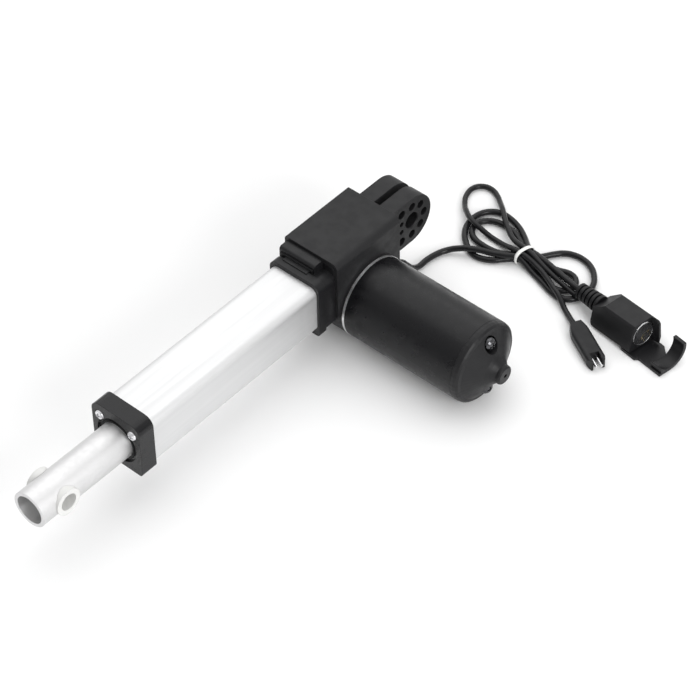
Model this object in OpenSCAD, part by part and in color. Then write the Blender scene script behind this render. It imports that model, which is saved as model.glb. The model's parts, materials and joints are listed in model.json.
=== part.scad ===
// Linear actuator: a worm-driven lead screw pushes a round rod out of a square tube.
// Millimetres. The origin is the centre of the rear pivot bore, +X points along the rod
// to its tip, +Y along the motor away from the gearbox, and +Z up.

/* [Overall] */
// Distance from the rear pivot bore to the rod's cross bore, rod in
pivot_span = 281; // [278:1:284]
// Travel of the rod, a whole number of screw leads
stroke = 112; // [96:4:112]
// Height of the pivot axis above the rod axis
pivot_rise = 5.6; // [5:0.1:6]

/* [Rear clevis] */
// Width of the clevis across both ears
clevis_w = 26; // [25:0.5:27]
// Radius of the rounded end of the clevis
clevis_r = 16.8; // [16.5:0.1:17]
// Diameter of the pivot bore
pivot_bore_d = 10.6; // [10.2:0.1:11]
// Gap between the two ears
ear_gap = 4.4; // [4:0.2:5]

/* [Gear housing] */
// Rear face of the gear housing
box_back = 19; // [18.5:0.1:19.5]
// Front face of the gear housing
box_front = 73.2; // [73:0.1:73.4]
// Width of the gear housing
box_w = 40; // [40:0.2:40.6]
// Height of the top face above the pivot axis
box_top = 20.4; // [20.2:0.1:21]
// Wall thickness of the moulded housings
wall = 2.6; // [2.4:0.1:2.8]

/* [Tube and rod] */
// Width of the square tube
tube_w = 34; // [34:0.1:34.2]
// Height of the square tube
tube_h = 33; // [33:0.1:33.2]
// Wall thickness of the square tube
tube_wall = 2; // [1.8:0.1:2]
// Outer diameter of the rod
rod_d = 22.5; // [22:0.1:22.6]
// Wall thickness of the rod
rod_wall = 2.25; // [2:0.05:2.3]

/* [Motor] */
// Outer diameter of the motor
motor_d = 51.6; // [51:0.2:52]
// Place of the motor axis along the rod
motor_x = 46; // [46:0.1:46.2]
// Far end of the motor can
can_end = 101.6; // [101:0.2:102]

/* [Gears and screw] */
// Gear module of the worm drive
gear_module = 1; // [1]
// Teeth on the worm wheel
wheel_teeth = 22; // [22]
// Pitch radius of the single-start worm
worm_pitch_r = 4.6; // [4.6]
// Lead of the screw
lead = 4; // [4]
// Outer diameter of the screw thread
screw_d = 14; // [13.8:0.1:14]

/* [Cords] */
// Diameter of the main cord
cord_d = 3.8; // [3.6:0.1:4]
// Diameter of the power lead
power_cord_d = 3.4; // [3.2:0.1:3.5]

/* [Hidden] */
$fn = 48;

eps = 0.01;
fit = 0.04;              // radial clearance of a running or slip fit
rod_z = -pivot_rise;
rod_r = rod_d / 2;
rod_in_r = rod_r - rod_wall;

// Worm drive
wheel_r = gear_module * wheel_teeth / 2;
motor_z = rod_z - wheel_r - worm_pitch_r;
motor_r = motor_d / 2;
tooth_pitch = PI * gear_module;
worm_root_r = worm_pitch_r - 1.2 * gear_module;
worm_tip_r = worm_pitch_r + 0.95 * gear_module;
wheel_w = 10;

// Gear housing
box_bottom = -23;
box_in_w = box_w - 2 * wall;
box_in_top = box_top - wall - 0.4;
box_in_bottom = box_bottom + wall;
neck_end = box_w / 2 + 1.6;
gland_y = 11;
gland_z = -28;

// Front housing, tube and cap, as places along the rod
tube_start = 78;
lip_back = 82.1;
lip_front = 87.9;
cap_back = 221.2;
cap_front = 232.3;
tube_end = cap_back + 4.8;
cap_screw_seat = cap_front - 1.2;
cap_w = 36;
cap_top = 14.2;
cap_bottom = -23.3;
port_y = tube_w / 2 - tube_wall - 2.8;
port_z = tube_h / 2 - tube_wall - 2.9;

// Nut, screw and rod
nut_start = 79.5;
nut_l = 17;
spigot_l = 8;
rod_start = nut_start + nut_l;
rod_end = pivot_span + 17.7;
bush_r = 6.8;
bush_flange_r = 8.4;
bush_reach = rod_r + 0.75;
guide_start = 210;
screw_r = screw_d / 2;
screw_core_r = screw_r - 1.4;
journal_r = 5;
front_journal_r = 6;
thread_start = 75.5;
thread_end = 216;
screw_end = 217;
screw_tail = 221.5;
bearing_r = 11;
bearing_w = 7;
rear_bearing_x = 26.2;
front_bearing_x = 64;
wheel_x = motor_x - wheel_w / 2;

// Motor
can_start = neck_end + 1.4;
can_wall = 2;
shaft_r = 4;
cap_rim = 106.8;
boss_end = 121;
rear_bush_end = 112.8;
screw_seat = 105.2;
commutator_start = 87;
floor_z = motor_z - motor_r - 0.2;

// Points along the cords, as [x, y, z], chosen to lie on the floor
main_cord_path = [
    [11, 11, -28], [7, 11, -30], [2, 11, -36], [-3, 11, -42], [-9, 11, -45.2],
    [-16, 11, -45.2], [-23, 12, -45.2], [-30.6, 15.4, -44.7], [-35.3, 21.6, -42.8],
    [-38.3, 28, -41.5]
];
socket_cord_path = [
    [-56.6, 75, -41.3], [-54.6, 83, -40.8], [-52.6, 90, -40], [-51, 95.8, -39.2],
    [-49.9, 101.1, -38.5]
];
power_root_path = [
    [-47.5, 100.2, -41.7], [-48.6, 94.5, -42.1], [-50.2, 88, -42.4], [-52, 80, -42.4]
];
power_cord_path = [
    [-46.6, 80, -41.9], [-43.8, 85.8, -41.9], [-41.6, 90.6, -41.9], [-39.4, 95, -43.5],
    [-37, 99.6, -45.4], [-34.4, 104.3, -45.4], [-32, 108.3, -44.8], [-29.6, 112.4, -43.8]
];
tie_at = [-55, 54.3];

// Socket and power plug, each drawn along its own +Y and placed on the floor
socket_at = [-47.7, 114.2, floor_z];
socket_turn = -9;
socket_tilt = 4;
socket_back = 5;
socket_l = 38;
socket_h = 17.4;
socket_axis_x = -1.4;
socket_axis_h = 8.9;
relief_axis_h = 9.7;
cheek_l = 5.5;
plug_at = [-29.3, 113, floor_z];
plug_turn = -29;
plug_l = 34;
plug_w = 11.6;
plug_h = 7;

// ---------------------------------------------------------------- shape helpers

// Cylinder along X
module x_cyl(x0, x1, r, y = 0, z = rod_z) {
    translate([x0, y, z]) rotate([0, 90, 0]) cylinder(h = x1 - x0, r = r);
}

// Cylinder along Y
module y_cyl(y0, y1, r, x = 0, z = 0) {
    translate([x, y0, z]) rotate([-90, 0, 0]) cylinder(h = y1 - y0, r = r);
}

// Places its children so that their own +Z runs along the motor axis
module on_motor(y = 0) {
    translate([motor_x, y, motor_z]) rotate([-90, 0, 0]) children();
}

// Ring along the motor axis
module motor_ring(y0, y1, r_out, r_in) {
    difference() {
        y_cyl(y0, y1, r_out, motor_x, motor_z);
        y_cyl(y0 - 1, y1 + 1, r_in, motor_x, motor_z);
    }
}

module round_rect(w, h, r) {
    square([w - 2 * r, h], center = true);
    square([w, h - 2 * r], center = true);
    for (sx = [-1, 1], sy = [-1, 1])
        translate([sx * (w / 2 - r), sy * (h / 2 - r)]) circle(r);
}

// Bar along X with a rounded cross-section of width w from z0 to z1
module x_bar(x0, x1, w, z0, z1, r) {
    translate([x0, 0, (z0 + z1) / 2]) rotate([90, 0, 90])
        linear_extrude(x1 - x0) round_rect(w, z1 - z0, r);
}

// Bar along X whose top corners are rounder than its bottom corners
module arch_bar(x0, x1, w, z0, z1, r_top, r_bottom) {
    x_bar(x0, x1, w, z0, z1, r_top);
    x_bar(x0, x1, w, z0, (z0 + z1) / 2, r_bottom);
}

// Bar along X centred on the rod axis
module rod_bar(x0, x1, w, h, r) {
    x_bar(x0, x1, w, rod_z - h / 2, rod_z + h / 2, r);
}

// Helical ridge around +Z: the radius and half width of its root and of its tip
module ridge(root_r, root_half, tip_r, tip_half, pitch, z0, z1, start = 0, steps = 12) {
    turns = (z1 - z0) / pitch;
    n = round(turns * steps);
    points = [
        for (i = [0:n])
            let (a = start + i * 360 / steps, z = z0 + i * pitch / steps)
            for (c = [[root_r, -root_half], [tip_r, -tip_half], [tip_r, tip_half], [root_r, root_half]])
                [c[0] * cos(a), c[0] * sin(a), z + c[1]]
    ];
    sides = [
        for (i = [0:n - 1], k = [0:3])
            let (a = 4 * i + k, b = 4 * i + (k + 1) % 4)
            each [[a, a + 4, b + 4], [a, b + 4, b]]
    ];
    polyhedron(points, concat(sides, [[0, 1, 2, 3]], [[4 * n + 3, 4 * n + 2, 4 * n + 1, 4 * n]]));
}

function unit(v) = v / norm(v);
function heading(path, i) =
    unit(path[min(i + 1, len(path) - 1)] - path[max(i - 1, 0)]);

function coil_path(r, pitch, turns) = [
    for (i = [0:turns * 10])
        [r * cos(36 * i), r * sin(36 * i), i * pitch / 10]
];

// Round tube swept along a path
module swept(path, r, sides = 10) {
    n = len(path);
    points = [
        for (i = [0:n - 1])
            let (t = heading(path, i), u = unit(cross(t, [0, 0, 1])), v = cross(u, t))
            for (k = [0:sides - 1])
                path[i] + r * (cos(k * 360 / sides) * u + sin(k * 360 / sides) * v)
    ];
    skin = [
        for (i = [0:n - 2], k = [0:sides - 1])
            let (a = i * sides + k, b = i * sides + (k + 1) % sides)
            [a, b, b + sides, a + sides]
    ];
    first = [for (k = [sides - 1:-1:0]) k];
    last = [for (k = [0:sides - 1]) (n - 1) * sides + k];
    polyhedron(points, concat(skin, [first], [last]));
}

// ---------------------------------------------------------------- gearbox

module pivot_pockets(side) {
    depth = 7;
    y0 = side > 0 ? clevis_w / 2 - depth : -clevis_w / 2 - 1;
    for (a = [90:45:270])
        y_cyl(y0, y0 + depth + 1, 2.7, 10.7 * cos(a), 10.7 * sin(a));
    for (s = [-1, 1]) {
        y_cyl(y0, y0 + depth + 1, 2.9, 9.2, s * 10.6);
        y_cyl(y0, y0 + depth + 1, 1.7, 9.2, s * 3.1);
    }
}

module rear_clevis() {
    bore_r = pivot_bore_d / 2;
    flange_x = box_back + wall + 0.1;
    color("#202022") difference() {
        union() {
            y_cyl(-clevis_w / 2, clevis_w / 2, clevis_r);
            translate([0, -clevis_w / 2, -clevis_r]) cube([flange_x + 1, clevis_w, 2 * clevis_r]);
            x_bar(flange_x, flange_x + 4, box_in_w - 0.4, -18.6, box_in_top - 0.4, 2);
            x_cyl(flange_x, rear_bearing_x + bearing_w, 13);
        }
        y_cyl(-clevis_w, clevis_w, bore_r);
        for (s = [-1, 1])
            translate([0, s * clevis_w / 2, 0]) rotate([s * 90, 0, 0])
                cylinder(h = 0.6, r1 = bore_r + 0.6, r2 = bore_r);
        translate([-clevis_r - 1, -ear_gap / 2, -clevis_r - 1])
            cube([clevis_r + 17, ear_gap, 2 * clevis_r + 2]);
        pivot_pockets(1);
        pivot_pockets(-1);
        housing_screw_places(box_back) cylinder(h = 10, r = 1.8);
        x_cyl(rear_bearing_x, rear_bearing_x + bearing_w + 1, bearing_r + 0.02);
        x_cyl(rear_bearing_x - 3, rear_bearing_x + 1, journal_r + 2);
    }
}

module gear_housing() {
    color("#262628") difference() {
        union() {
            translate([box_back, 0, (box_bottom + box_top) / 2]) rotate([90, 0, 90])
                linear_extrude(box_front - box_back) box_outline();
            y_cyl(-box_w / 2, neck_end, motor_r, motor_x, motor_z);
            x_cyl(box_back - 1, box_back + 8, 6, gland_y, gland_z);
        }
        x_bar(box_back + wall, box_front + 1, box_in_w, box_in_bottom, box_in_top, 2.4);
        translate([box_back - 2, -clevis_w / 2 - 0.15, -clevis_r - 0.15])
            cube([6, clevis_w + 0.3, 2 * clevis_r + 0.3]);
        y_cyl(-box_in_w / 2, neck_end + 1, 7.5, motor_x, motor_z);
        bulge_pockets();
        x_cyl(box_back - 2, motor_x - 12, 3, gland_y, gland_z);
        housing_screw_places(box_back - 1) cylinder(h = 6, r = 1.35);
    }
}

// Cross-section of the box: the edges away from the motor are sharper
module box_outline() {
    h = box_top - box_bottom;
    round_rect(box_w, h, 4.5);
    translate([-box_w / 4, 0]) round_rect(box_w / 2, h, 1.6);
}

// Core-outs of the round part of the housing, open to the motor plate
module bulge_pockets() {
    difference() {
        y_cyl(-box_in_w / 2, neck_end + 1, motor_r - 2.8, motor_x, motor_z);
        y_cyl(-box_w, box_w, 10.4, motor_x, motor_z);
        translate([0, -box_w, box_bottom]) cube([100, 2 * box_w, 60]);
        translate([motor_x - 1.2, -box_w, -60]) cube([2.4, 2 * box_w, 40]);
    }
}

// Places a child, pointing forwards, on each long screw that clamps the housings together
module housing_screw_places(x) {
    for (y = [-15.2, 15.2], z = [-12, 12.5])
        translate([x, y, z]) rotate([0, 90, 0]) children();
}

module housing_screws() {
    color("silver") {
        housing_screw_places(box_back) cylinder(h = box_front - box_back - 1.5, r = 1.3);
        housing_screw_places(box_back - 1.3) difference() {
            cylinder(h = 1.28, r = 2);
            for (a = [0, 90]) rotate(a) translate([-1.2, -0.25, -1]) cube([2.4, 0.5, 1.6]);
        }
    }
}

module front_housing() {
    spigot_back = front_bearing_x;
    color("#1d1d1f") difference() {
        union() {
            arch_bar(lip_back, lip_front, 37.2, -25.5, 13.8, 5.5, 2);
            arch_bar(box_front + 0.1, lip_back, 36, -24.4, 13, 6, 2);
            x_bar(spigot_back, box_front + 0.2, box_in_w - 0.2, box_in_bottom + 0.1, box_in_top - 0.1, 2.4);
            snap_tab();
        }
        rod_bar(tube_start - 0.1, lip_front + 1, tube_w + 0.1, tube_h + 0.1, 5.05);
        x_cyl(spigot_back - 1, spigot_back + bearing_w, bearing_r + 0.02);
        x_cyl(spigot_back, tube_start, 8.5);
        housing_screw_places(front_bearing_x - 1) cylinder(h = 9, r = 1.32);
    }
}

// Raised snap tab on top of the front housing, with a rounded front edge and a lower step
module snap_tab() {
    tab_l = 7.2;
    tab_top = 18.6;
    edge_r = 2;
    translate([box_front + 0.1, 8.8, 0]) rotate([90, 0, 0]) linear_extrude(26.4) hull() {
        translate([0, 8]) square([tab_l, 4]);
        translate([0, 8]) square([1, tab_top - 8]);
        translate([tab_l - edge_r, tab_top - edge_r]) circle(edge_r);
    }
    translate([box_front + tab_l, -16.6, 8]) cube([0.9, 24.4, 7.4]);
    translate([lip_back - 1, -12, 13]) cube([3, 18, 1.4]);
}

module outer_tube() {
    inner_w = tube_w - 2 * tube_wall;
    inner_h = tube_h - 2 * tube_wall;
    color("#d4d5d6") {
        difference() {
            rod_bar(tube_start, tube_end, tube_w, tube_h, 5);
            rod_bar(tube_start - 1, tube_end + 1, inner_w, inner_h, 3);
        }
        for (sy = [-1, 1], sz = [-1, 1]) screw_port(sy, sz, inner_w / 2, inner_h / 2);
    }
}

// Screw channel in one corner of the tube
module screw_port(sy, sz, half_w, half_h) {
    y = sy * port_y;
    z = rod_z + sz * port_z;
    difference() {
        intersection() {
            union() {
                x_cyl(tube_start, tube_end, 2.7, y, z);
                translate([tube_start, min(y, sy * half_w), min(z, rod_z + sz * half_h)])
                    cube([tube_end - tube_start, half_w - port_y, half_h - port_z]);
            }
            rod_bar(tube_start, tube_end, 2 * half_w + 0.4, 2 * half_h + 0.4, 3.2);
        }
        x_cyl(tube_start - 1, tube_end + 1, 1.3, y, z);
    }
}

// ---------------------------------------------------------------- front end

// Places a child on the two screw channels in the tube's top corners
module top_corner_places(x) {
    for (sy = [-1, 1]) translate([x, sy * port_y, rod_z + port_z]) rotate([0, 90, 0]) children();
}

module front_cap() {
    color("#161617") difference() {
        arch_bar(cap_back, cap_front, cap_w, cap_bottom, cap_top, 6, 2.5);
        rod_bar(cap_back - 1, tube_end + 0.05, tube_w + 0.1, tube_h + 0.1, 5.05);
        x_cyl(tube_end, cap_front + 1, rod_r + 0.35);
        x_cyl(cap_front - 1.4, cap_front + 1, 14.6);
        x_cyl(cap_front - 4, cap_front - 1, 13.1);
        top_corner_places(tube_end - 1) cylinder(h = 10, r = 1.7);
        top_corner_places(cap_screw_seat) cylinder(h = 4, r = 3.4);
    }
}

module cap_screws() {
    color("#d9d9dc") top_corner_places(cap_screw_seat) difference() {
        union() {
            rotate_extrude() polygon([[0, 0], [3.1, 0], [3.1, 0.9], [2.6, 1.9], [1.5, 2.4], [0, 2.5]]);
            translate([0, 0, -18]) cylinder(h = 18.5, r = 1.26);
        }
        for (a = [0, 90]) rotate(a) translate([-1.7, -0.35, 1.4]) cube([3.4, 0.7, 2]);
    }
}

module rod_wiper() {
    color("#0e0e0f") difference() {
        union() {
            x_cyl(cap_front - 3.9, cap_front - 1.3, 13);
            x_cyl(cap_front - 1.4, cap_front - 0.5, 12.4);
        }
        x_cyl(cap_front - 5, cap_front + 1, rod_r + fit);
    }
}

module rod_guide() {
    color("#e8e6dc") difference() {
        rod_bar(guide_start, tube_end, tube_w - 2 * tube_wall - 0.1, tube_h - 2 * tube_wall - 0.1, 3);
        x_cyl(guide_start - 1, tube_end + 1, rod_r + fit);
        corner_notches(guide_start - 1, tube_end + 1, 2.8);
    }
}

// Square-cornered space around the tube's four screw channels
module corner_notches(x0, x1, clear) {
    for (sy = [-1, 1], sz = [-1, 1])
        translate([x0, sy > 0 ? port_y : -port_y - 10, sz > 0 ? rod_z + port_z : rod_z - port_z - 10])
            cube([x1 - x0, 10, 10]);
    for (sy = [-1, 1], sz = [-1, 1]) {
        translate([x0, sy > 0 ? port_y : -port_y - 10, rod_z + sz * port_z - clear])
            cube([x1 - x0, 10, 2 * clear]);
        translate([x0, sy * port_y - clear, sz > 0 ? rod_z + port_z : rod_z - port_z - 10])
            cube([x1 - x0, 2 * clear, 10]);
        x_cyl(x0, x1, clear, sy * port_y, rod_z + sz * port_z);
    }
}

// ---------------------------------------------------------------- rod

module rod_tube() {
    color("#e6e6e8") difference() {
        x_cyl(rod_start, rod_end, rod_r);
        x_cyl(rod_start - 1, rod_end + 1, rod_in_r);
        y_cyl(-rod_d, rod_d, bush_r + 0.02, pivot_span, rod_z);
        nut_pin_places() cylinder(h = 6, r = 1.52);
    }
}

// Flanged plastic bush in one wall of the rod
module rod_bush(side) {
    y0 = side > 0 ? 0.1 : -bush_reach;
    y1 = side > 0 ? bush_reach : -0.1;
    flange_y0 = side > 0 ? 6 : -bush_reach;
    flange_y1 = side > 0 ? bush_reach : -6;
    color("#f1f1ec") difference() {
        union() {
            y_cyl(y0, y1, bush_r, pivot_span, rod_z);
            difference() {
                y_cyl(flange_y0, flange_y1, bush_flange_r, pivot_span, rod_z);
                x_cyl(pivot_span - 20, pivot_span + 20, rod_r + 0.02);
            }
        }
        y_cyl(-rod_d, rod_d, 5.3, pivot_span, rod_z);
    }
}

module rod_bush_right() {
    rod_bush(1);
}

module rod_bush_left() {
    rod_bush(-1);
}

module nut_pin_places() {
    for (s = [-1, 1])
        translate([rod_start + 4, 0, rod_z + s * (screw_r + 0.7)]) rotate([s > 0 ? 0 : 180, 0, 0])
            children();
}

module drive_nut() {
    color("#e9e3cf") difference() {
        union() {
            rod_bar(nut_start, rod_start, tube_w - 2 * tube_wall - 1, tube_h - 2 * tube_wall - 1, 3);
            x_cyl(rod_start - 1, rod_start + spigot_l, rod_in_r - 0.02);
        }
        x_cyl(nut_start - 1, rod_start + spigot_l + 1, screw_r + 0.3);
        corner_notches(nut_start - 1, rod_start + 0.5, 3.3);
        translate([nut_start - 1, -20, rod_z - 7.8]) cube([nut_l + 2, 20 - 11.9, 15.6]);
        nut_pin_places() cylinder(h = 6, r = 1.52);
    }
}

module nut_thread() {
    color("#e9e3cf") translate([0, 0, rod_z]) rotate([0, 90, 0])
        ridge(screw_r + 0.62, 1.5, screw_core_r + 0.35, 0.55, lead, nut_start + 1, nut_start + 13, 180);
}

module nut_pins() {
    color("silver") nut_pin_places() cylinder(h = rod_r - screw_r - 1, r = 1.5);
}

// ---------------------------------------------------------------- screw and wheel

module lead_screw() {
    color("#a9abae") difference() {
        union() {
            x_cyl(rear_bearing_x, rear_bearing_x + bearing_w + 0.3, journal_r);
            x_cyl(rear_bearing_x + bearing_w + 0.3, wheel_x - 0.1, 7);
            x_cyl(wheel_x - 0.2, thread_start, front_journal_r);
            x_cyl(thread_start, screw_end, screw_core_r);
            x_cyl(screw_end - eps, screw_tail, 3.5);
        }
        wheel_pin_hole();
        x_cyl(screw_tail - 8, screw_tail + 1, 1.3);
    }
}

module screw_thread() {
    color("#a9abae") translate([0, 0, rod_z]) rotate([0, 90, 0])
        ridge(screw_core_r - 0.3, 1.2, screw_r, 0.55, lead, thread_start + 2, thread_end - 2.5,
              360 * (thread_start + 2 - nut_start - 1) / lead);
}

module screw_end_bush() {
    color("#e9e3cf") difference() {
        x_cyl(screw_end + 0.1, screw_tail, rod_in_r - 2 * fit);
        x_cyl(screw_end, screw_tail + 1, 3.52);
    }
}

module screw_end_bolt() {
    color("silver") {
        x_cyl(screw_tail + 0.02, screw_tail + 0.8, 6);
        x_cyl(screw_tail + 0.7, screw_tail + 2.6, 2.8);
        x_cyl(screw_tail - 6, screw_tail + 1, 1.28);
    }
}

module wheel_pin_hole() {
    translate([wheel_x + wheel_w + 3.4, 0, rod_z - 12]) cylinder(h = 24, r = 1.27);
}

module worm_wheel() {
    root_r = wheel_r - 1.25 * gear_module;
    tip_r = wheel_r + 0.9 * gear_module;
    root_half = 0.98;
    tip_half = 0.38;
    helix = atan(tooth_pitch / (2 * PI * worm_pitch_r));
    twist = wheel_w * tan(helix) / wheel_r * 180 / PI;
    color("#e4dcc2") difference() {
        union() {
            translate([wheel_x, 0, rod_z]) rotate([90, 0, 90])
                linear_extrude(wheel_w, twist = -twist, slices = 5, convexity = 8)
                    rotate(-twist / 2) wheel_outline(root_r, tip_r, root_half, tip_half);
            x_cyl(wheel_x + wheel_w - 1, wheel_x + wheel_w + 6.6, 9.4);
        }
        x_cyl(wheel_x - 1, wheel_x + wheel_w + 8, front_journal_r + 0.02);
        wheel_pin_hole();
    }
}

// Outline of the wheel, with a tooth facing straight down
module wheel_outline(root_r, tip_r, root_half, tip_half) {
    tooth = 360 / wheel_teeth;
    root_a = root_half / root_r * 180 / PI;
    tip_a = tip_half / tip_r * 180 / PI;
    polygon([
        for (i = [0:wheel_teeth - 1])
            let (a = -90 + i * tooth)
            for (p = [[root_r, -root_a], [tip_r, -tip_a], [tip_r, tip_a], [root_r, root_a]])
                [p[0] * cos(a + p[1]), p[0] * sin(a + p[1])]
    ]);
}

module wheel_pin() {
    color("silver") translate([wheel_x + wheel_w + 3.4, 0, rod_z - 9.2]) cylinder(h = 18.4, r = 1.25);
}

// Ball bearing around the screw, from x to x + bearing_w
module ball_bearing(x, shaft) {
    race = (bearing_r + shaft) / 2;
    ball_r = (bearing_r - shaft) / 4.4;
    balls = 8;
    color("silver") difference() {
        union() {
            difference() {
                x_cyl(x, x + bearing_w, bearing_r);
                x_cyl(x - 1, x + bearing_w + 1, race + ball_r * 0.6);
            }
            difference() {
                x_cyl(x, x + bearing_w, race - ball_r * 0.6);
                x_cyl(x - 1, x + bearing_w + 1, shaft + fit);
            }
        }
        translate([x + bearing_w / 2, 0, rod_z]) rotate([0, 90, 0])
            rotate_extrude() translate([race, 0]) circle(ball_r + 0.05);
    }
    color("silver") for (i = [0:balls - 1])
        translate([x + bearing_w / 2, 0, rod_z]) rotate([i * 360 / balls, 0, 0])
            translate([0, 0, race]) sphere(ball_r, $fn = 24);
}

module rear_bearing() {
    ball_bearing(rear_bearing_x, journal_r);
}

module front_bearing() {
    ball_bearing(front_bearing_x, front_journal_r);
}

// ---------------------------------------------------------------- limit switches

module limit_board() {
    wall_y = -(tube_w / 2 - tube_wall) + 0.1;
    color("#1f6b3a") translate([nut_start - 0.8, wall_y, rod_z - 7])
        cube([guide_start - nut_start + 0.4, 1, 14]);
}

module limit_switches() {
    board_y = -(tube_w / 2 - tube_wall) + 1.1;
    color("#2b2b2b") for (x = [nut_start + 1, nut_start + stroke + 4]) {
        translate([x, board_y, rod_z - 3]) cube([9, 1.4, 6]);
        translate([x + 2, board_y + 1.3, rod_z - 0.8]) cube([1.6, 0.3, 1.6]);
    }
}

// ---------------------------------------------------------------- motor

module motor_plate() {
    color("#d8dadc") difference() {
        y_cyl(neck_end, can_start, motor_r + 0.2, motor_x, motor_z);
        y_cyl(neck_end - 1, can_start + 1, 8, motor_x, motor_z);
        for (a = [45:90:315])
            y_cyl(neck_end - 1, can_start + 1, 2, motor_x + 17 * cos(a), motor_z + 17 * sin(a));
    }
}

module motor_can() {
    color("#121213") difference() {
        union() {
            motor_ring(can_start, can_end, motor_r, motor_r - can_wall);
            y_cyl(can_start, can_start + 2.4, motor_r, motor_x, motor_z);
            y_cyl(can_start, can_start + 8, 9, motor_x, motor_z);
        }
        y_cyl(can_start - 1, can_start + 3, 5, motor_x, motor_z);
        y_cyl(can_start + 2.4, can_start + 9, 7.02, motor_x, motor_z);
    }
}

module motor_magnets() {
    color("#3a3a3d") for (turn = [0, 180]) on_motor(38) rotate(turn - 62)
        rotate_extrude(angle = 124)
            translate([18.3, 0]) square([motor_r - can_wall - 18.35, 44]);
}

module armature_shaft() {
    color("#b9bbbe") {
        y_cyl(-box_in_w / 2 + 0.4, -12.9, 3, motor_x, motor_z);
        y_cyl(-12.92, 14, worm_root_r, motor_x, motor_z);
        y_cyl(13.98, rear_bush_end - 0.3, shaft_r, motor_x, motor_z);
    }
}

// The ridge faces straight up half a tooth pitch from the wheel's middle, in its lowest gaps
module worm_thread() {
    turns = 7;
    y0 = -turns / 2 * tooth_pitch;
    color("#b9bbbe") on_motor()
        ridge(worm_root_r - 0.25, 0.98, worm_tip_r, 0.36, tooth_pitch, y0, -y0, 270);
}

module armature_core() {
    slots = 12;
    color("#77797c") difference() {
        motor_ring(42, 80, 17.6, shaft_r + 0.02);
        on_motor(41) for (i = [0:slots - 1]) rotate(i * 360 / slots) {
            translate([13.6, 0, 0]) cylinder(h = 40, r = 1.9);
            translate([14, -0.6, 0]) cube([6, 1.2, 40]);
        }
    }
}

module armature_windings() {
    color("#a8562a") for (y0 = [34.2, 80.1]) on_motor(y0) difference() {
        rotate_extrude() translate([5, 0]) {
            square([8, 6.4]);
            translate([8, 3.2]) circle(3.2);
        }
        translate([0, 0, -1]) cylinder(h = 9, r = shaft_r + 0.5);
    }
}

module commutator() {
    bars = 12;
    color("#b87333") difference() {
        motor_ring(commutator_start, 97, 9, shaft_r + 0.02);
        on_motor(commutator_start - 1) for (i = [0:bars - 1])
            rotate((i + 0.5) * 360 / bars) translate([8, -0.25, 0]) cube([3, 0.5, 12]);
    }
}

module motor_front_bush() {
    color("#b08d57") motor_ring(can_start + 2.5, can_start + 8, 7, shaft_r + fit);
}

module worm_end_bush() {
    color("#b08d57") motor_ring(-box_in_w / 2 + 0.05, -13.1, 7.45, 3 + fit);
}

module motor_rear_bush() {
    color("#b08d57") motor_ring(105.5, rear_bush_end, 6, shaft_r + fit);
}

module brush_holder() {
    color("#5a3b22") difference() {
        union() {
            motor_ring(95, 97.5, motor_r - can_wall - 0.1, 12);
            for (s = [-1, 1])
                translate([motor_x + s * 17.4 - 5.9, 88.6, motor_z - 4]) cube([11.8, 8, 8]);
        }
        for (s = [-1, 1])
            translate([motor_x + s * 15.2 - 7.25, 89.9, motor_z - 2.6]) cube([14.5, 5.2, 5.2]);
        end_screw_places(94) cylinder(h = 5, r = 1.72);
    }
}

module brushes() {
    color("#2e2e30") for (s = [-1, 1])
        translate([motor_x + s * 13.55 - 4.5, 90, motor_z - 2.5]) cube([9, 5, 5]);
}

module brush_springs() {
    color("silver") for (s = [-1, 1])
        translate([motor_x + s * 18.45, 92.5, motor_z]) rotate([0, s * 90, 0])
            swept(coil_path(1.7, 0.8, 4.4), 0.3, 6);
}

// Places a child on the axis of each end cap screw
module end_screw_places(y) {
    for (s = [-1, 1])
        translate([motor_x - s * 0.6, y, motor_z + s * 17]) rotate([-90, 0, 0]) children();
}

module motor_end_cap() {
    color("#141415") difference() {
        union() {
            on_motor() rotate_extrude() polygon([
                [0, boss_end], [4.9, boss_end], [5.8, boss_end - 0.6], [6.1, boss_end - 1.6],
                [6, boss_end - 2.8], [6.9, boss_end - 4], [8.4, boss_end - 5.6],
                [10.4, boss_end - 7.2], [12.8, boss_end - 8.6], [motor_r - 3.4, cap_rim],
                [motor_r - 1.5, cap_rim - 0.5], [motor_r - 0.4, cap_rim - 1.6],
                [motor_r, cap_rim - 3.4], [motor_r, can_end + 0.1],
                [motor_r - 2.15, can_end + 0.1], [motor_r - 2.15, can_end - 3.8],
                [motor_r - 4, can_end - 3.8], [motor_r - 4.4, 103],
                [9, 109], [9, 105.4], [0, 105.4]
            ]);
            end_screw_places(102) cylinder(h = 4, r = 6.2);
        }
        y_cyl(104, rear_bush_end + 0.05, 6.02, motor_x, motor_z);
        y_cyl(boss_end - 3, boss_end + 1, 1.2, motor_x, motor_z);
        end_screw_places(screw_seat) cylinder(h = 12, r = 4.9);
        end_screw_places(100) cylinder(h = 12, r = 1.75);
    }
}

module end_cap_screws() {
    color("#3a3a3c") end_screw_places(screw_seat + 0.02) difference() {
        union() {
            rotate_extrude() polygon([
                [0, 0], [4.1, 0], [4.1, 3], [3.8, 4.2], [2.9, 5.3], [1.5, 5.9], [0, 6]
            ]);
            translate([0, 0, -12]) cylinder(h = 12.5, r = 1.7);
        }
        for (a = [0, 90]) rotate(a) translate([-2.3, -0.45, 4]) cube([4.6, 0.9, 3]);
    }
}

// ---------------------------------------------------------------- cords

module cable_gland() {
    color("#101011") difference() {
        union() {
            x_cyl(11.2, box_back - 1.05, 4, gland_y, gland_z);
            x_cyl(box_back - 3, box_back - 1.05, 5.4, gland_y, gland_z);
            x_cyl(box_back - 1.1, box_back + 6, 2.95, gland_y, gland_z);
        }
        x_cyl(10, box_back + 8, cord_d / 2 + 0.05, gland_y, gland_z);
    }
}

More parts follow.
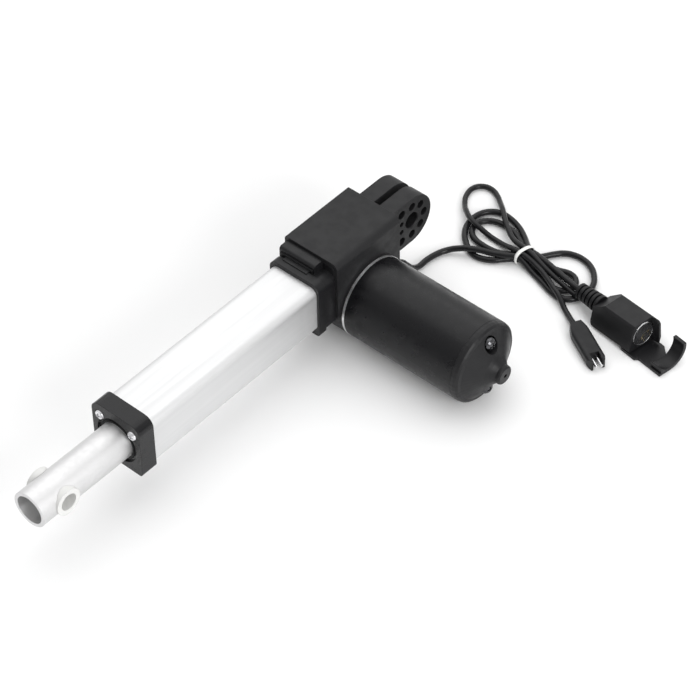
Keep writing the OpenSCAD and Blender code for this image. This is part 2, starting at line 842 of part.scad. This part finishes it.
module main_cord() {
    color("#151516") {
        swept(main_cord_path, cord_d / 2);
        x_cyl(10.9, box_back + 5, cord_d / 2 - 0.02, gland_y, gland_z);
    }
}

// Outer shape of the tied bundle of turns, lying on the floor: each lobe is a height and discs
module cord_hank() {
    tied = [tie_at, 6.8];
    lobes = [
        [3.8, [tied, [[-64.5, 84.5], 14.5], [[-52, 91], 9]]],
        [5.2, [tied, [[-57.4, 28], 21.4]]],
        [6.8, [tied, [[-60, 15], 9], [[-80, 2], 11.4]]],
        [8, [tied, [[-53, 76], 5]]],
        [9, [tied, [[-58, 45], 6]]]
    ];
    color("#1b1b1c") translate([0, 0, floor_z])
        for (lobe = lobes) linear_extrude(lobe[0]) disc_hull(lobe[1]);
}

// Hull of circles, each given as [centre, radius]
module disc_hull(discs) {
    hull() for (d = discs) translate(d[0]) circle(d[1], $fn = 32);
}

module cable_tie() {
    band_w = 14.6;
    band_h = 10.2;
    band_t = 0.9;
    color("#f0f0ee") translate([tie_at[0], tie_at[1], floor_z + band_h / 2])
        rotate([90, 0, -12]) linear_extrude(2.4, center = true) difference() {
            round_rect(band_w, band_h, 4.5);
            round_rect(band_w - 2 * band_t, band_h - 2 * band_t, 4.5 - band_t);
        }
}

module socket_cord() {
    color("#151516") swept(socket_cord_path, cord_d / 2);
}

module power_cord() {
    color("#151516") {
        swept(power_root_path, power_cord_d / 2, 8);
        swept(power_cord_path, power_cord_d / 2, 8);
    }
}

// ---------------------------------------------------------------- socket

// The socket lies a little nose up, resting on the strap of its lock clip
module at_socket() {
    translate(socket_at) rotate([socket_tilt, 0, socket_turn]) children();
}

module socket_strain_relief() {
    ribs = 5;
    pitch = 3.2;
    start = -13;
    color("#141415") at_socket() difference() {
        union() {
            y_cyl(start, socket_back, 3.6, 0, relief_axis_h);
            for (i = [0:ribs - 1])
                y_cyl(start + pitch * i, start + pitch * i + 1.9, 4.9 + 0.2 * i, 0, relief_axis_h);
            y_cyl(socket_back - 2, socket_back, 5.8, 0, relief_axis_h);
        }
        y_cyl(start - 1, socket_back + 1, cord_d / 2 + 0.05, 0, relief_axis_h);
    }
}

// Plan of the housing, with a cheek that stands forward on the far side
module socket_plan() {
    polygon([
        [10, socket_back], [10, socket_l], [-8, socket_l],
        [-9, socket_l + cheek_l], [-11, socket_l + cheek_l], [-11, 12], [-6.5, socket_back]
    ]);
}

// Side view of the housing, as [y, z]: the top slopes down to the cord
module socket_side() {
    far = socket_l + cheek_l;
    translate([socket_back + 4, 4]) circle(4);
    polygon([
        [socket_back, 4], [socket_back + 4, 0], [far, 0], [far, socket_h - 3],
        [far - 2, socket_h], [socket_back + 8, socket_h], [socket_back, 13]
    ]);
}

// Cross-section of the housing: the near side leans inwards
module socket_section() {
    polygon([
        [9.2, 0], [9.8, 1], [6.2, socket_h - 1.2], [5, socket_h], [-9, socket_h],
        [-10.2, socket_h - 1.4], [-10.6, 4], [-9.4, 0]
    ]);
}

module socket_housing() {
    far = socket_l + cheek_l;
    color("#1a1a1b") at_socket() difference() {
        intersection() {
            linear_extrude(socket_h) socket_plan();
            translate([-20, 0, 0]) rotate([90, 0, 90]) linear_extrude(40) socket_side();
            translate([0, far, 0]) rotate([90, 0, 0]) linear_extrude(far) socket_section();
        }
        y_cyl(14, socket_l + 1, 8, socket_axis_x, socket_axis_h);
        y_cyl(-1, 15, cord_d / 2 + 0.05, 0, relief_axis_h);
    }
}

module socket_shell() {
    color("#c8cacc") at_socket() difference() {
        y_cyl(14.1, socket_l + 0.6, 7.95, socket_axis_x, socket_axis_h);
        y_cyl(13, socket_l + 2, 7.2, socket_axis_x, socket_axis_h);
    }
}

module socket_insert() {
    color("#202021") at_socket() difference() {
        y_cyl(14.1, socket_l - 6, 7.15, socket_axis_x, socket_axis_h);
        contact_places() cylinder(h = 30, r = 0.85);
    }
}

// Places a child on each of the five contacts, on a half circle
module contact_places() {
    for (a = [-90:45:90])
        translate([socket_axis_x + 3.4 * sin(a), 16, socket_axis_h - 3.4 * cos(a) + 0.6])
            rotate([-90, 0, 0]) children();
}

module socket_contacts() {
    color("#c9b26a") at_socket() contact_places() difference() {
        cylinder(h = socket_l - 22.2, r = 0.83);
        translate([0, 0, 8]) cylinder(h = 20, r = 0.5);
    }
}

// Strap under the socket, ending in an open claw that grips the mating plug
module lock_clip() {
    strap_t = 1.9;
    strap_y = 31;
    claw_y = 52.5;
    claw_w = 8.5;
    claw_r = 12;
    claw_wall = 2.2;
    claw_left = 7.5;
    color("#161617") translate(socket_at) rotate(socket_turn) {
        linear_extrude(strap_t) polygon([
            [-10.5, strap_y], [9.5, strap_y], [9.5, strap_y + 11], [7.5, strap_y + 12.5],
            [7.5, claw_y + claw_w], [0, claw_y + claw_w], [-10.5, claw_y - 6]
        ]);
        translate([0, 0, claw_r]) rotate([-90, 0, 0]) translate([-1, 0, claw_y]) difference() {
            cylinder(h = claw_w, r = claw_r);
            translate([0, 0, -1]) cylinder(h = claw_w + 2, r = claw_r - claw_wall);
            translate([claw_left, -30, -1]) cube([30, 60, claw_w + 2]);
            translate([-2, -30, -1]) cube([30, 34, claw_w + 2]);
            translate([-30, -30, -1]) cube([60, 27.4, claw_w + 2]);
        }
    }
}

// ---------------------------------------------------------------- power plug

module at_plug() {
    translate(plug_at) rotate(plug_turn) children();
}

module power_plug() {
    back_w = 6.8;
    color("#19191a") at_plug() difference() {
        intersection() {
            linear_extrude(plug_h) polygon([
                [-back_w / 2, 0], [back_w / 2, 0], [plug_w / 2, 8], [plug_w / 2, plug_l - 4],
                [plug_w / 2 - 1.6, plug_l], [-plug_w / 2 + 1.6, plug_l], [-plug_w / 2, plug_l - 4],
                [-plug_w / 2, 8]
            ]);
            translate([0, plug_l + 1, plug_h / 2]) rotate([90, 0, 0])
                linear_extrude(plug_l + 2) round_rect(plug_w, plug_h, 2.2);
        }
        translate([-2.9, plug_l - 7, -1]) cube([5.8, 12, plug_h + 2]);
        y_cyl(-1, 6, power_cord_d / 2 + 0.05, 0, plug_h / 2);
    }
}

module power_plug_pins() {
    color("#c9cbcd") at_plug() for (s = [-1, 1])
        y_cyl(plug_l - 7, plug_l + 1.5, 0.9, s * 1.6, plug_h / 2);
}

// ---------------------------------------------------------------- assembly

rear_clevis();
gear_housing();
front_housing();
housing_screws();
outer_tube();
front_cap();
cap_screws();
rod_wiper();
rod_guide();
rod_tube();
rod_bush_right();
rod_bush_left();
drive_nut();
nut_thread();
nut_pins();
lead_screw();
screw_thread();
screw_end_bush();
screw_end_bolt();
worm_wheel();
wheel_pin();
rear_bearing();
front_bearing();
limit_board();
limit_switches();
motor_plate();
motor_can();
motor_magnets();
armature_shaft();
worm_thread();
armature_core();
armature_windings();
commutator();
motor_front_bush();
worm_end_bush();
motor_rear_bush();
brush_holder();
brushes();
brush_springs();
motor_end_cap();
end_cap_screws();
cable_gland();
main_cord();
cord_hank();
cable_tie();
socket_cord();
power_cord();
socket_strain_relief();
socket_housing();
socket_shell();
socket_insert();
socket_contacts();
lock_clip();
power_plug();
power_plug_pins();
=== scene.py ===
import json
import math

import bmesh
import bpy
from mathutils import Matrix, Vector


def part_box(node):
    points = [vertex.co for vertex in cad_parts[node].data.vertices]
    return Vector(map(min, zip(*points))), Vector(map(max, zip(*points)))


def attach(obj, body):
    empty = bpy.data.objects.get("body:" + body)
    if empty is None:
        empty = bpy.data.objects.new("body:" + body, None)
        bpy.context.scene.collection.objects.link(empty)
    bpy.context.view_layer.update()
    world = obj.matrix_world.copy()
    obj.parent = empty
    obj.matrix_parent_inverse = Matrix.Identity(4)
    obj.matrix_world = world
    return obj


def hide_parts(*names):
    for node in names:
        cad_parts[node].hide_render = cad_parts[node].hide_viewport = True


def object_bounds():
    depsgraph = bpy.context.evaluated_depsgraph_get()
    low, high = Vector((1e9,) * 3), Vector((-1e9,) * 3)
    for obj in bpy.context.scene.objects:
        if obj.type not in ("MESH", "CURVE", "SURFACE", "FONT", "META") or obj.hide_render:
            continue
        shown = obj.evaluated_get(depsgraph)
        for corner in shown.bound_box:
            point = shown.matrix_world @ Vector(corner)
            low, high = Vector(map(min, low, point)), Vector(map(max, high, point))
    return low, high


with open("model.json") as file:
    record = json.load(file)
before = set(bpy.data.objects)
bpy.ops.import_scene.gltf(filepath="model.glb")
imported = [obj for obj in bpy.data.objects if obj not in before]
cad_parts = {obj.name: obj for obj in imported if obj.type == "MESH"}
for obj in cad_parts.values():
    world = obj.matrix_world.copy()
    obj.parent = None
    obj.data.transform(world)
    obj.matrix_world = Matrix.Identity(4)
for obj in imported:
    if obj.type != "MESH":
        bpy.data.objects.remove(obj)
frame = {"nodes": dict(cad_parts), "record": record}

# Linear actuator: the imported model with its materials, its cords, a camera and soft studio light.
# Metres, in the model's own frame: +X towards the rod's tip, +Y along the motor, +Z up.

CAD_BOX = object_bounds()

# The camera's place, and the directions of its right and upper sides
CAMERA_PLACE = (0.92331, 0.78916, 1.13177)
CAMERA_RIGHT = (-0.65828, 0.75269, -0.01101)
CAMERA_UP = (-0.54461, -0.4661, 0.69724)
CAMERA_LENS = 145.88
CAMERA_REACH = 20

# Direction of the studio's brightest side, and the brightness away from it and towards it
SKY_SIDE = (-0.5, -0.4, 0.77)
SKY_LOW = 0.48
SKY_HIGH = 1.0
# Each soft light's place, the side of its square, and its power in watts
LIGHTS = {
    "key": ((-0.45, -0.4, 1.3), 2.0, 10),
    "side": ((0.4, 1.4, 0.7), 0.8, 13),
}
# The floor's half side, its drop under the lowest piece, and its colour
FLOOR_HALF = 4
FLOOR_GAP = 0.00005
FLOOR_COLOUR = (0.93, 0.93, 0.93)

CORD_D = 0.0038
POWER_CORD_D = 0.0034
# Blender's curve resolution round a cord, and between two points of its route
CORD_ROUND_RESOLUTION = 6
CORD_ROUTE_RESOLUTION = 8

# The tie's half width and half height inside, and its turn about the vertical in degrees
TIE_HALF = (0.00685, 0.00455)
TIE_TURN = -12
# The power that squares off the tie's oval (2 is an ellipse), and how many sections go round it
TIE_SQUARENESS = 2.8
TIE_STEPS = 72
# How far the strip sways sideways, and how often in one turn
TIE_SWAY = 0.0002
TIE_WAVES = 3
# Cross-section of the tie's strip, with its wire in the middle: places across it and outward, in mm
TIE_SECTION = [(-1.2, 0.05), (-0.75, 0.16), (-0.4, 0.42), (0, 0.55), (0.4, 0.42), (0.75, 0.16),
               (1.2, 0.05), (1.2, -0.15), (0.6, -0.3), (0, -0.38), (-0.6, -0.3), (-1.2, -0.15)]

# Specular level of every plastic
PLASTIC_GLOSS = 0.28
# Sizes of the patches in a finish: its tone and gloss on plastic and on metal, and rubbed edges
PLASTIC_TONE_PATCH = 0.012
PLASTIC_GLOSS_PATCH = 0.006
METAL_TONE_PATCH = 0.02
METAL_GLOSS_PATCH = 0.003
WORN_PATCH = 0.004
FLOOR_PATCH = 0.4
# Cosines between the rounded and the true normal where a face counts as an edge and as flat
EDGE_COSINE = 0.82
FLAT_COSINE = 0.98
BEVEL_SAMPLES = 4

# Both cords start and end on the CAD's routes. Their turns between lie in its cord_hank.
# From the gland through the tie, round the right loop, the far loops and the fold, to the socket
MAIN_CORD = [
    (0.011, 0.011, -0.028), (0.007, 0.011, -0.03), (0.002, 0.011, -0.036),
    (-0.003, 0.011, -0.042), (-0.009, 0.011, -0.0452), (-0.016, 0.011, -0.0452),
    (-0.023, 0.012, -0.0452), (-0.0306, 0.0154, -0.0447), (-0.0353, 0.0216, -0.0428),
    (-0.0383, 0.028, -0.0415), (-0.0414, 0.0336, -0.0419), (-0.0442, 0.0396, -0.0424),
    (-0.0468, 0.0464, -0.0415), (-0.0506, 0.0534, -0.0418), (-0.0503, 0.059, -0.0434),
    (-0.049, 0.0655, -0.0453), (-0.0462, 0.075, -0.0453), (-0.0431, 0.085, -0.0453),
    (-0.0429, 0.0917, -0.0453), (-0.046, 0.0969, -0.0453), (-0.0518, 0.0998, -0.0453),
    (-0.058, 0.1008, -0.0453), (-0.064, 0.0995, -0.0453), (-0.0695, 0.096, -0.0453),
    (-0.0748, 0.0898, -0.0453), (-0.0772, 0.0825, -0.0453), (-0.0767, 0.0753, -0.0453),
    (-0.0738, 0.0696, -0.0453), (-0.069, 0.0654, -0.0453), (-0.0625, 0.0608, -0.0453),
    (-0.0574, 0.0549, -0.0446), (-0.0553, 0.0498, -0.0453), (-0.0517, 0.0445, -0.0453),
    (-0.049, 0.0395, -0.0453), (-0.0479, 0.0337, -0.0453), (-0.048, 0.027, -0.0453),
    (-0.0492, 0.021, -0.0453), (-0.052, 0.0168, -0.0453), (-0.0563, 0.0143, -0.0453),
    (-0.061, 0.014, -0.0453), (-0.0652, 0.016, -0.0453), (-0.0683, 0.02, -0.0453),
    (-0.0698, 0.0258, -0.0453), (-0.0696, 0.032, -0.0453), (-0.0675, 0.0385, -0.0453),
    (-0.0626, 0.0462, -0.0442), (-0.0583, 0.0502, -0.0426), (-0.0556, 0.0543, -0.042),
    (-0.0553, 0.059, -0.0426), (-0.0568, 0.0638, -0.0446), (-0.0582, 0.0695, -0.0453),
    (-0.0606, 0.077, -0.0453), (-0.0625, 0.084, -0.0453), (-0.0602, 0.0895, -0.0453),
    (-0.05465, 0.0918, -0.0453), (-0.0491, 0.0895, -0.0453), (-0.0468, 0.084, -0.0453),
    (-0.0493, 0.076, -0.0453), (-0.0522, 0.0685, -0.0453), (-0.053, 0.061, -0.0453),
    (-0.0528, 0.0538, -0.0446), (-0.0506, 0.0494, -0.0453), (-0.0466, 0.0454, -0.0453),
    (-0.042, 0.0412, -0.0453), (-0.039, 0.036, -0.0453), (-0.0379, 0.0302, -0.0453),
    (-0.0398, 0.0244, -0.0453), (-0.0439, 0.0184, -0.0453), (-0.0496, 0.013, -0.0453),
    (-0.0557, 0.0099, -0.0453), (-0.063, 0.0089, -0.0453), (-0.0694, 0.0102, -0.0453),
    (-0.074, 0.0135, -0.0453), (-0.0767, 0.0184, -0.0453), (-0.0769, 0.0256, -0.0453),
    (-0.0743, 0.0347, -0.0453), (-0.0696, 0.043, -0.0453), (-0.0642, 0.0494, -0.0438),
    (-0.06, 0.0551, -0.0418), (-0.0592, 0.061, -0.0415), (-0.0582, 0.0675, -0.0414),
    (-0.0566, 0.075, -0.0413), (-0.0546, 0.083, -0.0408), (-0.0526, 0.09, -0.04),
    (-0.051, 0.0958, -0.0392), (-0.0499, 0.1011, -0.0385),
]

# From the socket's strain relief through the tie, round the outermost loop, and to the plug
POWER_CORD = [
    (-0.0475, 0.1002, -0.0417), (-0.0486, 0.0945, -0.0421), (-0.0502, 0.088, -0.0424),
    (-0.052, 0.08, -0.0424), (-0.054, 0.071, -0.0418), (-0.0558, 0.0625, -0.0404),
    (-0.0572, 0.0548, -0.0394), (-0.0583, 0.0485, -0.04), (-0.061, 0.041, -0.0414),
    (-0.0655, 0.034, -0.0419), (-0.0714, 0.0264, -0.0419), (-0.0775, 0.0197, -0.0422),
    (-0.083, 0.0134, -0.0444), (-0.0875, 0.0077, -0.0455), (-0.0899, 0.0018, -0.0455),
    (-0.0888, -0.0044, -0.0455), (-0.0838, -0.0082, -0.0455), (-0.076, -0.0074, -0.0455),
    (-0.0683, -0.0024, -0.0452), (-0.0625, 0.0038, -0.043), (-0.0587, 0.0094, -0.0419),
    (-0.0568, 0.015, -0.0419), (-0.0566, 0.0206, -0.0434), (-0.0568, 0.026, -0.0452),
    (-0.0566, 0.033, -0.0456), (-0.0554, 0.04, -0.044), (-0.0538, 0.0475, -0.041),
    (-0.0528, 0.0538, -0.0396), (-0.0526, 0.06, -0.0404), (-0.0518, 0.0663, -0.0416),
    (-0.0496, 0.0735, -0.0419), (-0.0466, 0.08, -0.0419), (-0.0438, 0.0858, -0.0419),
    (-0.0416, 0.0906, -0.0419), (-0.0394, 0.095, -0.0435), (-0.037, 0.0996, -0.0454),
    (-0.0344, 0.1043, -0.0454), (-0.032, 0.1083, -0.0448), (-0.0296, 0.1124, -0.0438),
]


# ---------------------------------------------------------------- camera and stage

def add(name, data):
    """A new object in the scene that shows this mesh, curve, camera or light."""
    made = bpy.data.objects.new(name, data)
    bpy.context.scene.collection.objects.link(made)
    return made


def make_camera():
    """The photograph's view."""
    right = Vector(CAMERA_RIGHT).normalized()
    up = Vector(CAMERA_UP).normalized()
    turn = Matrix((right, up, right.cross(up))).transposed()
    data = bpy.data.cameras.new("camera")
    data.lens = CAMERA_LENS
    data.clip_end = CAMERA_REACH
    camera = add("camera", data)
    camera.matrix_world = Matrix.Translation(CAMERA_PLACE) @ turn.to_4x4()
    bpy.context.scene.camera = camera


def make_light(name, place, size, power):
    """A soft square light that faces the middle of the object."""
    data = bpy.data.lights.new(name, "AREA")
    data.size = size
    data.energy = power
    light = add(name, data)
    centre = (CAD_BOX[0] + CAD_BOX[1]) / 2
    light.location = place
    light.rotation_mode = "QUATERNION"
    light.rotation_quaternion = (centre - Vector(place)).to_track_quat("-Z", "Y")


def make_world():
    """An even studio that is brighter on one side."""
    world = bpy.data.worlds.new("studio")
    world.use_nodes = True
    nodes = world.node_tree.nodes
    links = world.node_tree.links
    direction = nodes.new("ShaderNodeTexCoord")
    towards = nodes.new("ShaderNodeVectorMath")
    towards.operation = "DOT_PRODUCT"
    towards.inputs[1].default_value = SKY_SIDE
    brightness = nodes.new("ShaderNodeMapRange")
    brightness.inputs["To Min"].default_value = SKY_LOW
    brightness.inputs["To Max"].default_value = SKY_HIGH
    background = nodes["Background"]
    background.inputs["Color"].default_value = (1, 1, 1, 1)
    links.new(direction.outputs["Generated"], towards.inputs[0])
    links.new(towards.outputs["Value"], brightness.inputs["Value"])
    links.new(brightness.outputs[0], background.inputs["Strength"])
    bpy.context.scene.world = world


def make_floor():
    """A pale floor just under the lowest piece."""
    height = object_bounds()[0].z - FLOOR_GAP
    mesh = bpy.data.meshes.new("floor")
    corners = [(-FLOOR_HALF, -FLOOR_HALF), (FLOOR_HALF, -FLOOR_HALF),
               (FLOOR_HALF, FLOOR_HALF), (-FLOOR_HALF, FLOOR_HALF)]
    mesh.from_pydata([(x, y, height) for x, y in corners], [], [(0, 1, 2, 3)])
    look = Look("floor", FLOOR_COLOUR, 0.8)
    look.vary_gloss(FLOOR_PATCH, 0.75, 0.85)
    mesh.materials.append(look.material)
    add("floor", mesh)


def make_studio():
    """The world, the floor and the lights, with colours shown as they are."""
    make_world()
    make_floor()
    for name, (place, size, power) in LIGHTS.items():
        make_light(name, place, size, power)
    bpy.context.scene.view_settings.view_transform = "Standard"


# ---------------------------------------------------------------- materials

class Look:
    """A Principled material whose colour, gloss and relief come from small procedural nodes."""

    def __init__(self, name, colour, roughness, **constants):
        self.material = bpy.data.materials.new(name)
        self.material.use_nodes = True
        self.tree = self.material.node_tree
        self.shader = self.tree.nodes["Principled BSDF"]
        self.base = (*colour, 1)
        self.shader.inputs["Base Color"].default_value = self.base
        self.shader.inputs["Roughness"].default_value = roughness
        for socket, value in constants.items():
            self.shader.inputs[socket.replace("_", " ")].default_value = value
        self.place = self.node("ShaderNodeTexCoord").outputs["Object"]
        self.normal = self.node("ShaderNodeNewGeometry").outputs["Normal"]

    def node(self, kind, inputs=(), **settings):
        """A new node, with each input linked to a socket or set to a value."""
        made = self.tree.nodes.new(kind)
        for setting, value in settings.items():
            setattr(made, setting, value)
        for socket, value in dict(inputs).items():
            if isinstance(value, bpy.types.NodeSocket):
                self.tree.links.new(value, made.inputs[socket])
            else:
                made.inputs[socket].default_value = value
        return made

    def noise(self, size, stretch=(1, 1, 1), detail=3):
        """Noise with patches about size metres across, drawn out where stretch is below 1."""
        mapping = self.node("ShaderNodeMapping", {"Vector": self.place, "Scale": stretch})
        inputs = {"Vector": mapping.outputs[0], "Scale": 1 / size, "Detail": detail}
        return self.node("ShaderNodeTexNoise", inputs).outputs[0]

    def spread(self, value, low, high, start=0.35, end=0.65):
        """The range from start to end of a value, stretched to run from low to high."""
        inputs = {"Value": value, "From Min": start, "From Max": end, "To Min": low, "To Max": high}
        return self.node("ShaderNodeMapRange", inputs).outputs[0]

    def vary_gloss(self, size, low, high, stretch=(1, 1, 1)):
        """Lets the roughness drift from low to high in patches."""
        gloss = self.spread(self.noise(size, stretch), low, high)
        self.tree.links.new(gloss, self.shader.inputs["Roughness"])

    def tint(self, factor, colour):
        """Mixes another colour into the base colour."""
        inputs = {0: factor, 6: self.base, 7: (*colour, 1)}
        self.base = self.node("ShaderNodeMix", inputs, data_type="RGBA").outputs[2]
        self.tree.links.new(self.base, self.shader.inputs["Base Color"])

    def relief(self, height, depth, strength):
        """Adds a bump on top of the surface's normal so far."""
        inputs = {"Height": height, "Distance": depth, "Strength": strength, "Normal": self.normal}
        self.normal = self.node("ShaderNodeBump", inputs).outputs[0]
        self.tree.links.new(self.normal, self.shader.inputs["Normal"])

    def soften_edges(self, radius, worn_colour, worn):
        """Rounds the light on sharp edges, and rubs them to another colour in places."""
        flat = self.normal
        bevel = self.node("ShaderNodeBevel", {"Radius": radius}, samples=BEVEL_SAMPLES)
        self.normal = bevel.outputs[0]
        self.tree.links.new(self.normal, self.shader.inputs["Normal"])
        facing = self.node("ShaderNodeVectorMath", {0: self.normal, 1: flat}, operation="DOT_PRODUCT")
        edge = self.spread(facing.outputs["Value"], worn, 0, EDGE_COSINE, FLAT_COSINE)
        patches = self.spread(self.noise(WORN_PATCH), 0, 1)
        factor = self.node("ShaderNodeMath", {0: edge, 1: patches}, operation="MULTIPLY")
        self.tint(factor.outputs[0], worn_colour)


def plastic(name, colour, roughness, grain=0.0004, depth=0.00003, edge=0.0004):
    """Moulded plastic: a fine grain, slightly uneven gloss and tone, and lightly rubbed edges."""
    look = Look(name, colour, roughness, Specular_IOR_Level=PLASTIC_GLOSS)
    darker = [0.85 * c for c in colour]
    paler = [min(1, 1.35 * c + 0.01) for c in colour]
    look.tint(look.spread(look.noise(PLASTIC_TONE_PATCH), 0, 0.35), darker)
    look.soften_edges(edge, paler, 0.6)
    look.vary_gloss(PLASTIC_GLOSS_PATCH, roughness - 0.06, roughness + 0.06)
    look.relief(look.noise(grain, detail=2), depth, 0.5)
    return look.material


def metal(name, colour, roughness, stretch=(1, 1, 1), grain=0.0003, depth=0.00001, edge=0.0003):
    """Bare or plated metal with lines or grain in its finish."""
    look = Look(name, colour, roughness, Metallic=1.0)
    darker = [0.88 * c for c in colour]
    paler = [min(1, 1.1 * c) for c in colour]
    look.tint(look.spread(look.noise(METAL_TONE_PATCH, stretch), 0, 0.3), darker)
    look.soften_edges(edge, paler, 0.5)
    look.vary_gloss(METAL_GLOSS_PATCH, roughness - 0.05, roughness + 0.06, stretch)
    look.relief(look.noise(grain, stretch, detail=2), depth, 0.35)
    return look.material


# Stretches of the noise: lines along X or Y, and the fine layers of the armature's core and windings
ALONG_X = (0.03, 1, 1)
ALONG_Y = (1, 0.03, 1)
LAMINATED = (1, 8, 1)
WOUND = (1, 6, 1)

# One maker for each material slot of the record
MATERIALS = {
    "black_nylon": lambda n: plastic(n, (0.012, 0.012, 0.013), 0.5, 0.0005, 0.00005),
    "black_nylon_collar": lambda n: plastic(n, (0.009, 0.009, 0.01), 0.4),
    "black_cap": lambda n: plastic(n, (0.008, 0.008, 0.009), 0.24),
    "black_rubber": lambda n: plastic(n, (0.012, 0.012, 0.013), 0.7),
    "motor_black": lambda n: plastic(n, (0.004, 0.004, 0.005), 0.32, 0.0009, 0.00004),
    "end_cap_black": lambda n: plastic(n, (0.009, 0.009, 0.01), 0.42, 0.0006, 0.00004),
    "cord_black": lambda n: plastic(n, (0.009, 0.009, 0.01), 0.27, 0.0008, 0.00003),
    "cord_moulding": lambda n: plastic(n, (0.009, 0.009, 0.01), 0.45),
    "insert_black": lambda n: plastic(n, (0.02, 0.02, 0.021), 0.5),
    "clip_black": lambda n: plastic(n, (0.009, 0.009, 0.01), 0.42),
    "plug_black": lambda n: plastic(n, (0.009, 0.009, 0.01), 0.45),
    "switch_black": lambda n: plastic(n, (0.03, 0.03, 0.03), 0.5),
    "holder_brown": lambda n: plastic(n, (0.2, 0.1, 0.05), 0.5),
    "carbon": lambda n: plastic(n, (0.04, 0.04, 0.042), 0.6),
    "white_plastic": lambda n: plastic(n, (0.82, 0.81, 0.77), 0.4),
    "nut_plastic": lambda n: plastic(n, (0.78, 0.73, 0.58), 0.4),
    "tie_white": lambda n: plastic(n, (0.88, 0.88, 0.86), 0.4),
    "translucent_nylon": lambda n: plastic(n, (0.74, 0.74, 0.725), 0.32),
    "board_green": lambda n: plastic(n, (0.02, 0.18, 0.07), 0.35),
    "silver_aluminium": lambda n: metal(n, (0.74, 0.742, 0.745), 0.56, ALONG_X),
    "silver_rod": lambda n: metal(n, (0.72, 0.718, 0.72), 0.52),
    "zinc_steel": lambda n: metal(n, (0.82, 0.82, 0.84), 0.2),
    "plate_steel": lambda n: metal(n, (0.95, 0.95, 0.96), 0.35, edge=0.00005),
    "nickel_shell": lambda n: metal(n, (0.72, 0.72, 0.73), 0.18, ALONG_Y),
    "black_screw": lambda n: metal(n, (0.1, 0.1, 0.105), 0.2),
    "bearing_steel": lambda n: metal(n, (0.7, 0.7, 0.72), 0.15),
    "screw_steel": lambda n: metal(n, (0.56, 0.57, 0.58), 0.28),
    "lamination_steel": lambda n: metal(n, (0.42, 0.43, 0.44), 0.4, LAMINATED),
    "magnet": lambda n: metal(n, (0.12, 0.12, 0.13), 0.6),
    "copper_wire": lambda n: metal(n, (0.65, 0.28, 0.13), 0.35, WOUND),
    "commutator_copper": lambda n: metal(n, (0.75, 0.42, 0.24), 0.3),
    "bronze": lambda n: metal(n, (0.6, 0.43, 0.22), 0.45),
    "contact_brass": lambda n: metal(n, (0.85, 0.7, 0.42), 0.22, ALONG_Y),
}


def dress_cad_nodes(finishes):
    """Gives each CAD node the material of its slot."""
    for part in frame["record"]["subparts"]:
        mesh = frame["nodes"][part["node"]].data
        mesh.materials.clear()
        mesh.materials.append(finishes[part["material_slot"]])


# ---------------------------------------------------------------- cords and their tie

def make_cord(name, route, diameter, finish, *stands_for):
    """A round cord on one smooth curve through the route's points."""
    data = bpy.data.curves.new(name, "CURVE")
    data.dimensions = "3D"
    data.bevel_depth = diameter / 2
    data.bevel_resolution = CORD_ROUND_RESOLUTION
    data.resolution_u = CORD_ROUTE_RESOLUTION
    data.use_fill_caps = True
    spline = data.splines.new("BEZIER")
    spline.bezier_points.add(len(route) - 1)
    for point, place in zip(spline.bezier_points, route):
        point.co = place
        point.handle_left_type = "AUTO"
        point.handle_right_type = "AUTO"
    data.materials.append(finish)
    cord = add(name, data)
    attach(cord, "frame")
    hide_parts(*stands_for)
    return cord


def rounded_loop(half_w, half_h, count):
    """Points round an oval with flattened sides, each with its outward direction."""
    power = 2 / TIE_SQUARENESS
    places = []
    for i in range(count):
        turn = 2 * math.pi * i / count
        x = half_w * math.copysign(abs(math.cos(turn)) ** power, math.cos(turn))
        z = half_h * math.copysign(abs(math.sin(turn)) ** power, math.sin(turn))
        outward = Vector((x / half_w ** 2, 0, z / half_h ** 2)).normalized()
        places.append((Vector((x, 0, z)), outward))
    return places


def tie_rings():
    """Sections of the tie's strip, one after another round the cords, swaying a little sideways."""
    low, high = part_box("cable_tie")
    place = Matrix.Translation((low + high) / 2) @ Matrix.Rotation(math.radians(TIE_TURN), 4, "Z")
    loop = rounded_loop(*TIE_HALF, TIE_STEPS)
    rings = []
    for i, (point, outward) in enumerate(loop):
        sway = TIE_SWAY * math.sin(TIE_WAVES * 2 * math.pi * i / len(loop))
        section = [point + outward * (h / 1000) + Vector((0, w / 1000 + sway, 0))
                   for w, h in TIE_SECTION]
        rings.append([place @ corner for corner in section])
    return rings


def make_tie(finish):
    """A plastic strip with a wire down its middle, closed round the cords."""
    grid = bmesh.new()
    rings = [[grid.verts.new(corner) for corner in ring] for ring in tie_rings()]
    for ring, after in zip(rings, rings[1:] + rings[:1]):
        for k in range(len(ring)):
            m = (k + 1) % len(ring)
            grid.faces.new((ring[k], ring[m], after[m], after[k]))
    bmesh.ops.recalc_face_normals(grid, faces=grid.faces)
    mesh = bpy.data.meshes.new("tie_strip")
    grid.to_mesh(mesh)
    grid.free()
    mesh.polygons.foreach_set("use_smooth", [True] * len(mesh.polygons))
    mesh.materials.append(finish)
    tie = add("tie_strip", mesh)
    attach(tie, "frame")
    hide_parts("cable_tie")


def make_cords(finish):
    """Both free cords, each hiding the CAD nodes that it stands for."""
    main = make_cord("control_cord", MAIN_CORD, CORD_D, finish,
                     "main_cord", "cord_hank", "socket_cord")
    power = make_cord("power_lead", POWER_CORD, POWER_CORD_D, finish, "power_cord")


# ---------------------------------------------------------------- scene

make_camera()
finishes = {slot: make(slot) for slot, make in MATERIALS.items()}
make_cords(finishes["cord_black"])
make_tie(finishes["tie_white"])
dress_cad_nodes(finishes)
make_studio()
